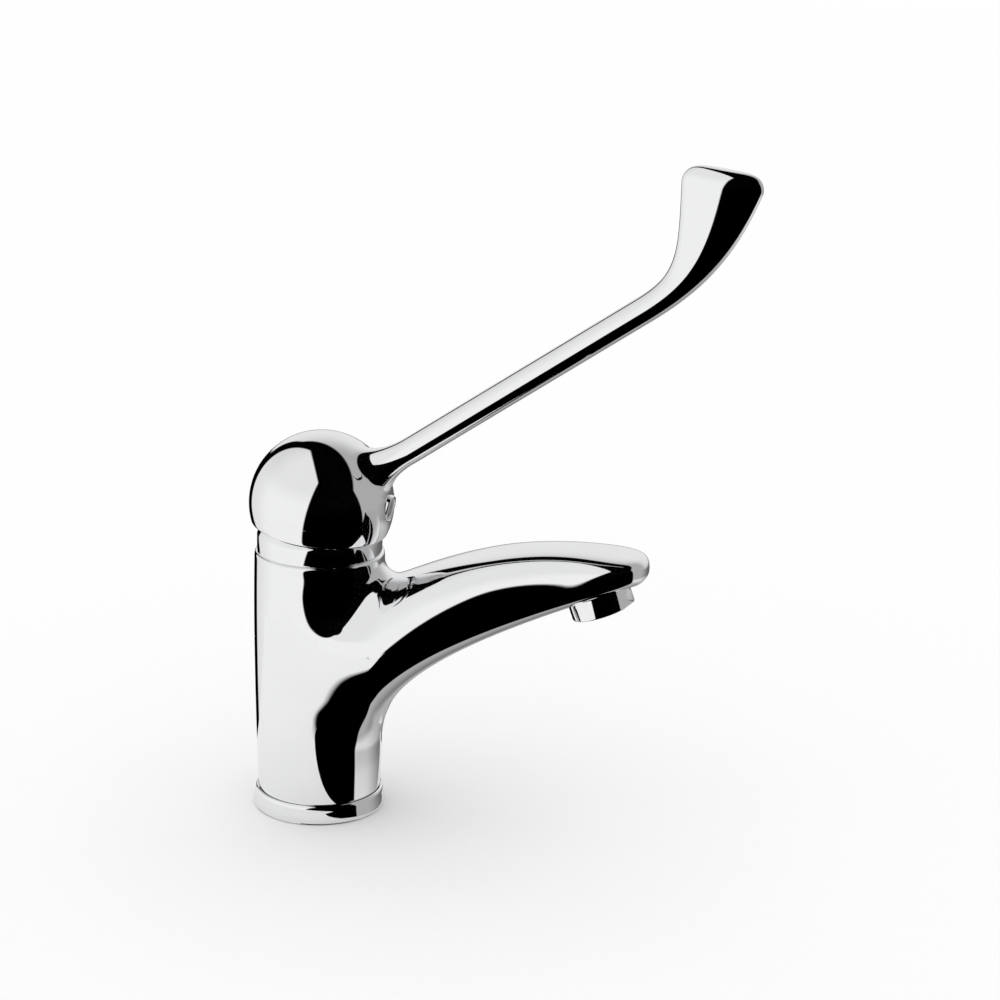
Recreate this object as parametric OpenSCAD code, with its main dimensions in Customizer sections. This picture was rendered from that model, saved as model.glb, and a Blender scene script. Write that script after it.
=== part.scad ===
// Single-lever basin mixer tap with a long elbow lever.
// X runs along the spout, Z is up, and the origin is the middle of the foot on the deck.
// All sizes are in millimetres. The tap is drawn closed, with the lever down and straight ahead.

/* [Foot] */
// Widest diameter of the trim ring round the foot
ring_d = 52.8; // [52.4:0.2:57]
// Diameter of the trim ring where it stands on the deck
ring_foot_d = 51.8; // [50:0.2:52.2]
// Height of the trim ring
ring_h = 7.5; // [6.5:0.5:14]
// Height of the trim ring's widest place
ring_belly_z = 1.5; // [1:0.1:6]
// Width of the ledge between the trim ring and the column
ring_ledge = 0.4; // [0.2:0.1:1]
// Width of the deck seal
deck_seal_w = 2.6; // [2:0.1:3]
// Thickness of the deck seal
deck_seal_t = 2; // [1:0.1:3]
// Diameter of the body's spigot inside the trim ring
spigot_d = 42; // [40:0.2:43]
// Height of the spigot's end above the deck
spigot_z = 2; // [1:0.1:4]
// Diameter of the hose cavity in the foot
cavity_d = 37; // [35:0.2:38.4]
// Depth of the hose cavity
cavity_h = 30; // [26:0.5:34]
// Drill diameter of the two supply hose threads, M10 x 1
inlet_d = 9; // [8:0.1:9.4]
// Depth of the supply hose threads
inlet_depth = 16; // [12:0.5:18]
// Spacing of the two supply hose threads
inlet_spacing = 15; // [13:0.2:16]
// Distance of the supply hose threads behind the column's axis
inlet_back = 4; // [2:0.1:5]
// Drill diameter of the fixing stud's thread, M8
stud_d = 6.8; // [5:0.1:7]
// Depth of the fixing stud's thread
stud_depth = 14; // [10:0.5:16]
// Distance of the fixing stud in front of the column's axis
stud_front = 9.5; // [8:0.1:11]

/* [Column] */
// Height of the body above the deck
body_h = 105.5; // [102:0.5:112]
// Diameter of the column just above the trim ring
column_foot_d = 48.6; // [46:0.2:50]
// Widest diameter of the column
column_belly_d = 51.4; // [50.4:0.2:54]
// Height of the column's widest place
belly_z = 82; // [70:1:90]
// Diameter of the column at its top edge
column_top_d = 50.8; // [50:0.2:52]
// Rounding of the column's top edge
column_round = 1.6; // [0.8:0.1:2]

/* [Spout] */
// Distance from the column's axis to the middle of the outlet
spout_reach = 114.3; // [106:0.5:122]
// Height of the outlet's rim above the deck
outlet_h = 93.5; // [90:0.5:97]
// Forward tilt of the outlet
outlet_tilt = 20.6; // [15:0.2:25]
// Length of the spout past the middle of the outlet
nose_len = 16.7; // [15:0.1:20]
// Height of the spout's tip above the outlet's rim
nose_rise = 17.5; // [16.5:0.1:19]
// Thickness of the spout where its tip begins to round over
nose_t = 11; // [9:0.1:12]
// Length of the rounding at the tip
nose_round = 5; // [3:0.1:7]
// Width of the spout
spout_w = 32; // [30:0.2:36]
// Width of the spout where it leaves the column
spout_root_w = 48; // [42:0.5:49]
// Height of the spout's crown at the column, below the body's top
crown_drop = 9.5; // [8:0.1:12]
// Height of the hollow rounding between the column and the crown
shoulder_rise = 6; // [5:0.1:9]
// Length of the hollow rounding between the column and the crown
shoulder_run = 5; // [4:0.5:12]
// Height of the spout's keel at the column
keel_z = 28; // [22:0.5:34]
// Diameter of the waterway
waterway_d = 11; // [9:0.2:12]
// Distance from the column's axis to the bend in the waterway
waterway_bend_x = 62; // [56:0.5:68]
// Height of the bend in the waterway, above the cartridge seat
waterway_bend_rise = 17; // [15:0.2:20]

/* [Outlet] */
// Diameter of the aerator's housing
aerator_d = 24.6; // [24:0.1:26]
// Visible height of the aerator's housing
aerator_h = 8; // [7:0.1:10]
// Distance across the two spanner flats
aerator_flats = 22.4; // [22:0.1:24]
// Height of the spanner flats
aerator_flat_h = 5; // [3:0.1:6]
// Turn of the spanner flats from straight ahead, as the aerator was left when screwed tight
aerator_turn = -16; // [-90:1:90]
// Diameter of the aerator's thread
aerator_thread_d = 22; // [21.4:0.1:22.4]
// Length of the aerator's thread
aerator_thread_h = 6; // [4:0.1:6.5]
// Diameter of the jet insert
insert_d = 19.4; // [18:0.1:19.8]
// Height of the jet insert
insert_h = 9.6; // [8:0.1:10]
// Diameter of one jet
jet_d = 2.2; // [1.4:0.1:2.6]
// Distance between the rings of jets
jet_pitch = 3.1; // [2.8:0.1:3.2]
// Diameter of one hole in the strainer
mesh_d = 1.1; // [0.8:0.1:1.6]
// Distance between the rings of holes in the strainer
mesh_pitch = 2.3; // [2:0.1:2.4]
// Thickness of the strainer
strainer_t = 0.8; // [0.5:0.1:1.2]
// Width of the lip under the jet insert
aerator_lip = 0.8; // [0.5:0.1:1.5]
// Height of the lip under the jet insert
aerator_lip_h = 1.4; // [1:0.1:2]
// Thickness of the washer
washer_t = 1.6; // [1:0.1:2]
// Width of the washer
washer_w = 3; // [2:0.1:4]

/* [Cartridge] */
// Diameter of the cartridge
cartridge_d = 35; // [34:0.1:36]
// Depth of the cartridge seat below the body's top
seat_depth = 32.5; // [32:0.1:34]
// Thickness of the cartridge's base plate
plate_t = 4.5; // [4:0.1:5]
// Thickness of the fixed ceramic disc
fixed_disc_t = 4; // [3.5:0.1:4.5]
// Diameter of the moving ceramic disc
moving_disc_d = 24; // [22:0.1:25]
// Thickness of the moving ceramic disc
moving_disc_t = 4; // [3.5:0.1:4.5]
// Wall of the cartridge's housing
housing_wall = 2.2; // [1.8:0.1:2.4]
// Height of the housing's shoulder above the base plate
shoulder_h = 19.5; // [19:0.1:20.5]
// Thickness of the housing's shoulder
shoulder_t = 1.5; // [1.2:0.1:2]
// Outer diameter of the housing's neck
neck_d = 28.4; // [27.4:0.1:28.8]
// Length of the housing's neck above its shoulder
neck_h = 7; // [6:0.1:8]
// Diameter of the rotor's neck
rotor_neck_d = 23.8; // [23:0.1:24.2]
// Height of the rotor's neck above the housing
rotor_rise = 3; // [2.4:0.1:3.6]
// Width of the carrier between the rotor's rails
carrier_w = 17.4; // [16:0.1:18]
// Length of the carrier
carrier_l = 19; // [17:0.1:20]
// Height of the carrier
carrier_h = 7.5; // [7:0.1:7.8]
// Diameter of the pins that drive the moving disc
drive_pin_d = 3; // [2:0.1:3.4]
// Distance of the inlet ports behind the column's axis
port_back = 5; // [4.6:0.1:5.4]
// Spacing of the inlet ports
port_spacing = 12; // [11.4:0.1:12.6]
// Diameter of the inlet ports
port_d = 5.2; // [4:0.1:5.6]
// Distance of the outlet port in front of the column's axis
outlet_port_x = 6.5; // [6:0.1:7]
// Diameter of the outlet port
outlet_port_d = 6; // [5:0.1:6.4]
// Width of the port seals
port_seal_w = 1.4; // [1:0.1:1.6]
// Thickness of the port seals
port_seal_t = 1.8; // [1.2:0.1:2.4]
// Width of the groove for the rotor's sealing cord
rotor_seal_t = 1.6; // [1.2:0.1:1.8]
// Height of the groove for the rotor's sealing cord above the rotor's flange
rotor_seal_rise = 1; // [0.6:0.1:1.4]
// Diameter of the nut's thread
nut_d = 40; // [39:0.1:40.6]
// Length of the nut's thread
nut_thread_h = 8.5; // [8.5:0.1:9]
// Distance across the nut's flats
nut_flats = 34; // [33:0.2:34.4]
// Height of the nut's hexagon
nut_hex_h = 3.5; // [3:0.1:4]
// Thickness of the hot stop ring
stop_ring_t = 1.6; // [1.2:0.1:2]
// Width of the hot stop ring
stop_ring_w = 1.7; // [1.2:0.1:2]

/* [Stem] */
// Height of the lever's pivot above the moving disc
pivot_rise = 15.5; // [15:0.1:16]
// Diameter of the pivot pin
pin_d = 3; // [2.4:0.1:3.4]
// Lift of the lever from closed to fully open
lift_angle = 25; // [20:1:26]
// Side of the square stem
stem_w = 8; // [7:0.1:8.4]
// Width of the stem at the pivot pin
stem_eye_w = 9; // [8.4:0.1:9.4]
// Length of the stem above the pivot
stem_up = 33; // [32:0.1:35]
// Length of the stem below the pivot, to the middle of its ball
stem_down = 10; // [9.6:0.1:10.4]
// Diameter of the stem's ball
ball_d = 6.8; // [6:0.1:7]
// Diameter of the stem's shank above the ball
shank_d = 5.2; // [4.4:0.1:5.4]

/* [Lever] */
// Diameter of the dome
dome_d = 56.4; // [56:0.1:57]
// Height of the dome's centre above the body's top
dome_rise = 19.1; // [18.8:0.1:19.6]
// Distance of the dome's centre in front of the column's axis
dome_shift = 0.8; // [0.4:0.1:1]
// Forward lean of the dome's rim
dome_lean = 6; // [4:0.1:7]
// Height of the dome's rim below its centre
rim_drop = 10; // [9.6:0.1:10.6]
// Bevel round the outside of the dome's rim
rim_bevel = 0.8; // [0.4:0.1:1]
// Wall of the dome
dome_wall = 1.1; // [1:0.1:1.2]
// Diameter of the boss round the stem
boss_d = 14; // [13.4:0.2:15]
// Distance of the boss's end above the pivot
boss_start = 12; // [11:0.1:13]
// Height of the neck above the dome's centre
neck_rise = 17.3; // [16:0.1:18]
// Diameter of the neck
lever_neck_d = 12.4; // [11:0.1:13]
// Distance from the column's axis to the start of the neck's bend
bend_x = 21.7; // [20:0.1:24]
// Radius of the neck's bend
bend_r = 16; // [13:0.5:20]
// Rise of the arm
arm_angle = 34.8; // [30:0.2:38]
// Length of the straight arm
arm_l = 115; // [105:0.5:125]
// Diameter of the arm
arm_d = 10.2; // [9:0.1:11]
// Height of the paddle
paddle_h = 48.5; // [42:0.5:54]
// Forward run of the paddle's back edge
paddle_run = 11.8; // [9:0.1:14]
// Width of the paddle at its end
paddle_w = 30; // [27:0.2:34]
// Fall of the paddle's end from its back corner to its front corner
paddle_fall = 3.4; // [0:0.1:6]
// Thickness of the paddle
paddle_t = 10.6; // [9:0.1:12]
// Height of the paddle's rounded end
paddle_end = 6.6; // [5:0.1:8]
// Height of the index plug and the grub screw above the pivot, along the stem
plug_s = 29.6; // [28.6:0.1:30]
// Diameter of the index plug
plug_d = 10.2; // [9:0.1:11]
// Distance that the index plug stands out of the dome
plug_proud = 0.5; // [0.3:0.1:2]
// Length of the index plug
plug_l = 5; // [4:0.1:5.6]
// Rounding of the index plug's face
plug_round = 0.8; // [0.4:0.1:1.2]
// Diameter of the boss round the grub screw
screw_boss_d = 13; // [12.4:0.2:13.4]
// Diameter of the grub screw
screw_d = 5; // [4:0.1:6]
// Length of the grub screw
screw_l = 8; // [6:0.1:9]
// Key size of the grub screw
screw_key = 2.5; // [2:0.1:3]

/* [Collar] */
// Gap between the collar and the dome's rim
collar_gap = 0.4; // [0.35:0.05:0.6]
// Wall of the collar
collar_wall = 1.2; // [1:0.1:1.4]
// Diameter of the collar at its foot
collar_d = 48.8; // [48.6:0.1:49.8]
// Height of the collar above the body's top
collar_h = 13; // [12:0.1:13.4]
// Diameter of the hole in the collar for the lever's boss
collar_hole_d = 27; // [26:0.1:30]
// Length of the collar's spigot in the body
collar_spigot_h = 3; // [2.4:0.1:3.4]
// Thickness of the collar's sealing cord
collar_seal_t = 1.2; // [1:0.1:1.4]

/* [Clearances] */
// Radial clearance of parts that turn or slide in each other
running_gap = 0.08; // [0.05:0.01:0.1]
// Radial clearance of parts that are fitted and stay put
fit_gap = 0.1; // [0.05:0.01:0.2]
// Free space beside parts that swing past each other
swing_gap = 0.5; // [0.3:0.05:0.8]

/* [Hidden] */
$fn = 64;
// Overlap that lets one cut run cleanly into the next
cut = 0.5;
// Points round one ring of the spout and of the lever
spout_sides = 28;
lever_sides = 24;

// Heights of the cartridge stack, from its seat upwards
seat_z = body_h - seat_depth;
plate_z = seat_z + plate_t;
fixed_top_z = plate_z + fixed_disc_t;
moving_top_z = fixed_top_z + moving_disc_t;
carrier_top_z = moving_top_z + carrier_h;
shoulder_z = plate_z + shoulder_h;
ceiling_z = shoulder_z - shoulder_t;
neck_top_z = shoulder_z + neck_h;
rotor_top_z = neck_top_z + rotor_rise;
pivot_z = moving_top_z + pivot_rise;
rail_z = moving_top_z + swing_gap;
roof_z = carrier_top_z + swing_gap;

// Radii that fit into each other
chamber_r = cartridge_d / 2 + fit_gap;
housing_in_r = cartridge_d / 2 - housing_wall;
neck_hole_r = rotor_neck_d / 2 + running_gap;
stop_ring_in_r = neck_hole_r + swing_gap;
stop_ring_r = stop_ring_in_r + stop_ring_w;
collar_spigot_r = nut_d / 2 + collar_wall + fit_gap;
ring_in_r = spigot_d / 2 + fit_gap;
seal_mid_r = (ring_in_r + ring_foot_d / 2) / 2;

// The stem leans forward by half the lift when closed, which puts the discs back by this much
stem_lean = lift_angle / 2;
disc_x = -stem_down * sin(stem_lean);

// The dome
dome_r = dome_d / 2;
dome_in_r = dome_r - dome_wall;
dome_z = body_h + dome_rise;
rim_in_r = sqrt(dome_in_r * dome_in_r - rim_drop * rim_drop);
rim_out_r = sqrt(dome_r * dome_r - rim_drop * rim_drop);
// Front of the rim's inner edge, from the pivot: it swings over the collar's crown when the lever lifts
rim_front = [
    dome_shift + rim_in_r * cos(dome_lean) - rim_drop * sin(dome_lean),
    dome_z - pivot_z - rim_in_r * sin(dome_lean) - rim_drop * cos(dome_lean)
];
collar_crown_r = norm(rim_front) - collar_gap;

// The spout's tip and the outlet's seat
nose_x = spout_reach + nose_len - nose_round;
nose_z = outlet_h + nose_rise;
socket_h = aerator_thread_h + washer_t;

// Crown and keel of the spout, as curves of four points in the XZ plane
crown_root_pull = [30, 14];
crown_tip_pull = [-39, 4.6];
keel_root_pull = [0.2, 29];
keel_tip_pull = [-63, -26.6];
// The keel starts just inside the column, so that the two run into each other
keel_inset = 1.4;
crown_root = [column_belly_d / 2 + 1, body_h - crown_drop];
crown_tip = [nose_x, nose_z + nose_t / 2];
keel_root = [column_belly_d / 2 - keel_inset, keel_z];
keel_tip = [nose_x, nose_z - nose_t / 2];
crown = [crown_root, crown_root + crown_root_pull, crown_tip + crown_tip_pull, crown_tip];
keel = [keel_root, keel_root + keel_root_pull, keel_tip + keel_tip_pull, keel_tip];

function bezier(p, t) =
    pow(1 - t, 3) * p[0] + 3 * pow(1 - t, 2) * t * p[1] + 3 * (1 - t) * t * t * p[2] + pow(t, 3) * p[3];

function signed_power(v, e) = sign(v) * pow(abs(v), e);

// One ring of a loft: an oval between two points of the XZ plane, square-shouldered above power 2
function oval(top, low, half_w, power, sides) = [
    for (i = [0 : sides - 1])
        let (
            a = 360 * (i + 0.5) / sides,
            mid = (top + low) / 2,
            up = (top - low) / 2 * signed_power(cos(a), 2 / power)
        )
        [mid[0] + up[0], half_w * signed_power(sin(a), 2 / power), mid[1] + up[1]]
];

// A closed skin over rings that follow each other forwards
module loft(rings) {
    n = len(rings[0]);
    last = len(rings) - 1;
    sides = [
        for (k = [0 : last - 1], i = [0 : n - 1])
            let (a = k * n + i, b = k * n + (i + 1) % n)
            each [[a, b, b + n], [a, b + n, a + n]]
    ];
    back = [for (i = [n - 1 : -1 : 0]) i];
    front = [for (i = [0 : n - 1]) last * n + i];
    polyhedron(points = [for (r = rings) each r], faces = concat([back], sides, [front]));
}

module tube(r_out, r_in, z, h) {
    translate([0, 0, z])
    difference() {
        cylinder(r = r_out, h = h);
        translate([0, 0, -cut]) cylinder(r = r_in, h = h + 2 * cut);
    }
}

module cord_ring(r, t, z) {
    translate([0, 0, z]) rotate_extrude() translate([r, 0]) circle(d = t, $fn = 32);
}

// Frame of the outlet: origin in the middle of its rim, Z up its axis
module at_outlet() {
    translate([spout_reach, 0, outlet_h]) rotate([0, -outlet_tilt, 0]) children();
}

// Frame of the leaning stem: origin on the pivot, Z up the stem
module at_stem() {
    translate([0, 0, pivot_z]) rotate([0, stem_lean, 0]) children();
}

// Frame of the index plug and the grub screw: Z points out of the dome
module at_screw() {
    at_stem() translate([0, 0, plug_s]) rotate([0, 90, 0]) children();
}

// Frame of the dome: origin in its centre, Z square to its rim
module at_dome() {
    translate([dome_shift, 0, dome_z]) rotate([0, dome_lean, 0]) children();
}

// Distance along the screw's axis from the stem's axis to the dome's outside
function screw_to_dome() =
    let (
        from = [plug_s * sin(stem_lean) - dome_shift, pivot_z + plug_s * cos(stem_lean) - dome_z],
        along = from[0] * cos(stem_lean) - from[1] * sin(stem_lean)
    )
    sqrt(dome_r * dome_r - from * from + along * along) - along;

// The cartridge's ports, cut through whatever lies between two heights
module ports(z, h, grow = 0) {
    for (side = [-1, 1])
        translate([-port_back, side * port_spacing / 2, z]) cylinder(d = port_d + 2 * grow, h = h);
    translate([outlet_port_x, 0, z]) cylinder(d = outlet_port_d + 2 * grow, h = h);
}

// Foot

module foot_ring() {
    top_r = column_foot_d / 2 + ring_ledge;
    outer_r = ring_d / 2;
    foot_r = ring_foot_d / 2;
    lower = [
        for (a = [90 : -15 : 0])
            [foot_r + (outer_r - foot_r) * cos(a), ring_belly_z * (1 - sin(a))]
    ];
    upper = [
        for (a = [15 : 15 : 90])
            [top_r + (outer_r - top_r) * cos(a), ring_belly_z + (ring_h - ring_belly_z) * sin(a)]
    ];
    color("silver")
    difference() {
        rotate_extrude() polygon(concat([[ring_in_r, 0]], lower, upper, [[ring_in_r, ring_h]]));
        tube(seal_mid_r + deck_seal_w / 2, seal_mid_r - deck_seal_w / 2, -cut, deck_seal_t + cut);
    }
}

module deck_seal() {
    color("dimgray") tube(seal_mid_r + deck_seal_w / 2, seal_mid_r - deck_seal_w / 2, 0, deck_seal_t);
}

// Body

module column_solid() {
    foot_r = column_foot_d / 2;
    belly_r = column_belly_d / 2;
    top_r = column_top_d / 2;
    edge_z = body_h - column_round;
    low = [
        for (k = [0 : 6])
            let (z = ring_h + (belly_z - ring_h) * k / 6, away = (belly_z - z) / (belly_z - ring_h))
            [belly_r - (belly_r - foot_r) * away * away, z]
    ];
    high = [
        for (k = [1 : 3])
            let (z = belly_z + (edge_z - belly_z) * k / 3, away = (z - belly_z) / (edge_z - belly_z))
            [belly_r - (belly_r - top_r) * away * away, z]
    ];
    edge = [
        for (a = [30 : 30 : 90])
            [top_r - column_round * (1 - cos(a)), edge_z + column_round * sin(a)]
    ];
    rotate_extrude() polygon(concat([[0, ring_h]], low, high, edge, [[0, body_h]]));
    translate([0, 0, spigot_z]) cylinder(d = spigot_d, h = ring_h - spigot_z + cut);
}

// The spout is as wide as its neck needs, then parallel, and round in plan at the tip
function spout_half_w(x) =
    let (
        root_x = column_belly_d / 2,
        tip_x = spout_reach + nose_len,
        half = spout_w / 2,
        blend = pow(max(0, 1 - (x - root_x) / (spout_reach - root_x)), 2),
        over = max(0, x - (tip_x - half))
    )
    (half + (spout_root_w / 2 - half) * blend) * sqrt(max(0, 1 - over * over / (half * half)));

// The crown dips away from the column in a hollow rounding
function crown_point(t) =
    let (p = bezier(crown, t), near = max(0, 1 - (p[0] - crown_root[0]) / shoulder_run))
    p + [0, shoulder_rise * near * near];

// Sections stand closest together at the column, where the shape changes most
module spout_solid() {
    root_x = column_belly_d / 10;
    steps = 18;
    crowding = 1.6;
    // Fullness of the sections: an ellipse at the column, squarer towards the tip
    root_power = 2;
    tip_power = 2.7;
    root = oval(
        [root_x, crown_point(0)[1]], [root_x, keel_root[1]],
        spout_root_w / 2, root_power, spout_sides
    );
    run = [
        for (k = [0 : steps])
            let (
                t = pow(k / steps, crowding),
                top = crown_point(t),
                low = bezier(keel, t),
                power = root_power + (tip_power - root_power) * t
            )
            oval(top, low, spout_half_w((top[0] + low[0]) / 2), power, spout_sides)
    ];
    tip = [
        for (a = [25, 48, 66, 80])
            let (x = nose_x + nose_round * sin(a), half_t = nose_t / 2 * cos(a))
            oval([x, nose_z + half_t], [x, nose_z - half_t], spout_half_w(x), tip_power, spout_sides)
    ];
    loft(concat([root], run, tip));
}

// A straight waterway between two points of the XZ plane, drilled a little past both
module waterway(from, to) {
    run = to - from;
    past = waterway_d / 4;
    translate([from[0], 0, from[1]])
    rotate([0, atan2(run[0], run[1]), 0])
    translate([0, 0, -past])
    cylinder(d = waterway_d, h = norm(run) + 2 * past);
}

module body_cuts() {
    drop_z = seat_z - waterway_d - outlet_port_d / 2;
    bend = [waterway_bend_x, seat_z + waterway_bend_rise];
    socket_top = aerator_h + socket_h;
    outlet_top = [
        spout_reach - socket_top * sin(outlet_tilt),
        outlet_h + socket_top * cos(outlet_tilt)
    ];
    // Chamber for the cartridge, thread for its nut, and seat for the collar's spigot
    translate([0, 0, seat_z]) cylinder(r = chamber_r, h = seat_depth + cut);
    translate([0, 0, shoulder_z]) cylinder(d = nut_d, h = body_h - shoulder_z + cut);
    translate([0, 0, body_h - collar_spigot_h])
        cylinder(r = collar_spigot_r + fit_gap, h = collar_spigot_h + cut);
    // Supplies: hose threads in the foot, and drillings from there to the seat
    translate([0, 0, spigot_z - cut]) cylinder(d = cavity_d, h = cavity_h - spigot_z + cut);
    for (side = [-1, 1]) {
        translate([-inlet_back, side * inlet_spacing / 2, cavity_h - cut])
            cylinder(d = inlet_d, h = inlet_depth + cut);
        translate([-port_back, side * port_spacing / 2, cavity_h + inlet_depth - cut])
            cylinder(d = port_d, h = seat_z - cavity_h - inlet_depth + 2 * cut);
    }
    translate([stud_front, 0, cavity_h - cut]) cylinder(d = stud_d, h = stud_depth + cut);
    // Mixed water: down from the seat, along the spout and out through the aerator's socket
    translate([outlet_port_x, 0, drop_z]) cylinder(d = outlet_port_d, h = seat_z - drop_z + cut);
    waterway([outlet_port_x, drop_z], bend);
    waterway(bend, outlet_top);
    at_outlet() {
        translate([0, 0, -aerator_h]) cylinder(d = aerator_d + 2 * fit_gap, h = 2 * aerator_h);
        cylinder(d = aerator_thread_d + 2 * fit_gap, h = socket_top);
    }
}

module body_casting() {
    color("silver")
    difference() {
        union() {
            column_solid();
            spout_solid();
        }
        body_cuts();
    }
}

// Outlet

module aerator_washer() {
    color("dimgray")
    at_outlet()
    tube(aerator_thread_d / 2, aerator_thread_d / 2 - washer_w, aerator_h + aerator_thread_h, washer_t);
}

module aerator_housing() {
    bore_r = insert_d / 2 + fit_gap;
    color("silver")
    at_outlet()
    difference() {
        union() {
            cylinder(d = aerator_d, h = aerator_h);
            cylinder(d = aerator_thread_d, h = aerator_h + aerator_thread_h);
        }
        translate([0, 0, -cut]) cylinder(r = bore_r - aerator_lip, h = aerator_lip_h + 2 * cut);
        translate([0, 0, aerator_lip_h]) cylinder(r = bore_r, h = aerator_h + aerator_thread_h);
        for (side = [0, 180])
            rotate(side + aerator_turn)
            translate([aerator_flats / 2, -aerator_d / 2, -cut])
            cube([aerator_d, aerator_d, aerator_flat_h + cut]);
    }
}

// Holes of a sieve on rings round the middle one, six more on each ring
module sieve_holes(d, pitch, rings, z, h) {
    for (ring = [0 : rings], i = [0 : max(0, 6 * ring - 1)])
        rotate(360 * i / max(1, 6 * ring))
        translate([ring * pitch, 0, z])
        cylinder(d = d, h = h, $fn = 24);
}

module aerator_insert() {
    color("white")
    at_outlet()
    difference() {
        translate([0, 0, aerator_lip_h]) cylinder(d = insert_d, h = insert_h);
        sieve_holes(jet_d, jet_pitch, 2, aerator_lip_h - cut, insert_h + 2 * cut);
    }
}

module aerator_strainer() {
    color("gainsboro")
    at_outlet()
    difference() {
        translate([0, 0, aerator_lip_h + insert_h]) cylinder(d = insert_d, h = strainer_t);
        sieve_holes(mesh_d, mesh_pitch, 3, aerator_lip_h + insert_h - cut, strainer_t + 2 * cut);
    }
}

// Cartridge

module cartridge_base() {
    color("ivory")
    difference() {
        translate([0, 0, seat_z]) cylinder(d = cartridge_d, h = plate_t);
        ports(seat_z - cut, plate_t + 2 * cut);
        ports(seat_z - cut, port_seal_t + cut, port_seal_w);
    }
}

module port_seals() {
    color("black")
    difference() {
        ports(seat_z, port_seal_t, port_seal_w);
        ports(seat_z - cut, port_seal_t + 2 * cut);
    }
}

module fixed_disc() {
    color("white")
    difference() {
        translate([0, 0, plate_z]) cylinder(r = housing_in_r - fit_gap, h = fixed_disc_t);
        ports(plate_z - cut, fixed_disc_t + 2 * cut);
    }
}

// Places of the two pins by which the carrier drives the moving disc
module drive_pins(d, z, h) {
    for (side = [-1, 1])
        translate([disc_x, side * carrier_w / 3, z]) cylinder(d = d, h = h);
}

module moving_disc() {
    pin_hole_h = moving_disc_t / 2;
    color("white")
    difference() {
        translate([disc_x, 0, fixed_top_z]) cylinder(d = moving_disc_d, h = moving_disc_t);
        // Hollow in the underside in which hot and cold meet
        translate([disc_x, 0, fixed_top_z - cut])
            cylinder(d = moving_disc_d / 3, h = moving_disc_t / 2);
        drive_pins(drive_pin_d + 2 * fit_gap, moving_top_z - pin_hole_h, pin_hole_h + cut);
    }
}

module disc_carrier() {
    pocket_w = ball_d + 2 * running_gap;
    pocket_z = pivot_z - stem_down - ball_d / 2 - swing_gap;
    color("gray")
    difference() {
        union() {
            translate([disc_x - carrier_l / 2, -carrier_w / 2, moving_top_z])
                cube([carrier_l, carrier_w, carrier_h]);
            drive_pins(drive_pin_d, moving_top_z - moving_disc_t / 2 + fit_gap, moving_disc_t / 2);
        }
        translate([disc_x - pocket_w / 2, -stem_eye_w / 2, pocket_z])
            cube([pocket_w, stem_eye_w, carrier_h + cut]);
    }
}

module rotor() {
    slot_x = stem_w / 2 / cos(stem_lean) + (rotor_top_z - pivot_z) * tan(stem_lean) + swing_gap;
    slot_y = stem_eye_w / 2 + fit_gap;
    groove_r = rotor_neck_d / 2 - rotor_seal_t;
    color("lightgray")
    difference() {
        union() {
            translate([0, 0, rail_z])
                cylinder(r = housing_in_r - running_gap, h = ceiling_z - running_gap - rail_z);
            translate([0, 0, rail_z]) cylinder(d = rotor_neck_d, h = rotor_top_z - rail_z);
        }
        // Way for the carrier, slot for the stem, hole for the pivot pin and groove for the seal
        translate([-cartridge_d / 2, -carrier_w / 2 - running_gap, rail_z - cut])
            cube([cartridge_d, carrier_w + 2 * running_gap, roof_z - rail_z + cut]);
        translate([-slot_x, -slot_y, rail_z]) cube([2 * slot_x, 2 * slot_y, rotor_top_z - rail_z + cut]);
        translate([0, 0, pivot_z]) rotate([90, 0, 0]) cylinder(d = pin_d, h = cartridge_d, center = true);
        tube(rotor_neck_d, groove_r, ceiling_z + rotor_seal_rise, rotor_seal_t);
    }
}

module rotor_seal() {
    groove_r = rotor_neck_d / 2 - rotor_seal_t;
    cord = rotor_seal_t - 2 * fit_gap;
    color("black") cord_ring(groove_r + cord / 2, cord, ceiling_z + rotor_seal_rise + rotor_seal_t / 2);
}

module pivot_pin() {
    length = rotor_neck_d - 2 * swing_gap;
    color("gray")
    translate([0, 0, pivot_z])
    rotate([90, 0, 0])
    cylinder(d = pin_d, h = length, center = true);
}

module spindle() {
    eye_r = stem_eye_w / 2;
    color("goldenrod")
    at_stem()
    difference() {
        union() {
            translate([-stem_w / 2, -stem_w / 2, 0]) cube([stem_w, stem_w, stem_up]);
            rotate([90, 0, 0]) cylinder(r = stem_w / 2, h = 2 * eye_r, center = true);
            translate([0, 0, -stem_down]) cylinder(d = shank_d, h = stem_down);
            translate([0, 0, -stem_down]) sphere(d = ball_d);
        }
        rotate([90, 0, 0]) cylinder(d = pin_d + 2 * running_gap, h = 3 * eye_r, center = true);
    }
}

module cartridge_housing() {
    outer_r = cartridge_d / 2;
    color("whitesmoke")
    difference() {
        union() {
            translate([0, 0, plate_z]) cylinder(r = outer_r, h = shoulder_h);
            translate([0, 0, plate_z]) cylinder(d = neck_d, h = neck_top_z - plate_z);
        }
        translate([0, 0, plate_z - cut]) cylinder(r = housing_in_r, h = ceiling_z - plate_z + cut);
        translate([0, 0, plate_z]) cylinder(r = neck_hole_r, h = neck_top_z - plate_z + cut);
    }
}

module stop_ring() {
    color("red") tube(stop_ring_r, stop_ring_in_r, neck_top_z, stop_ring_t);
}

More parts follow.
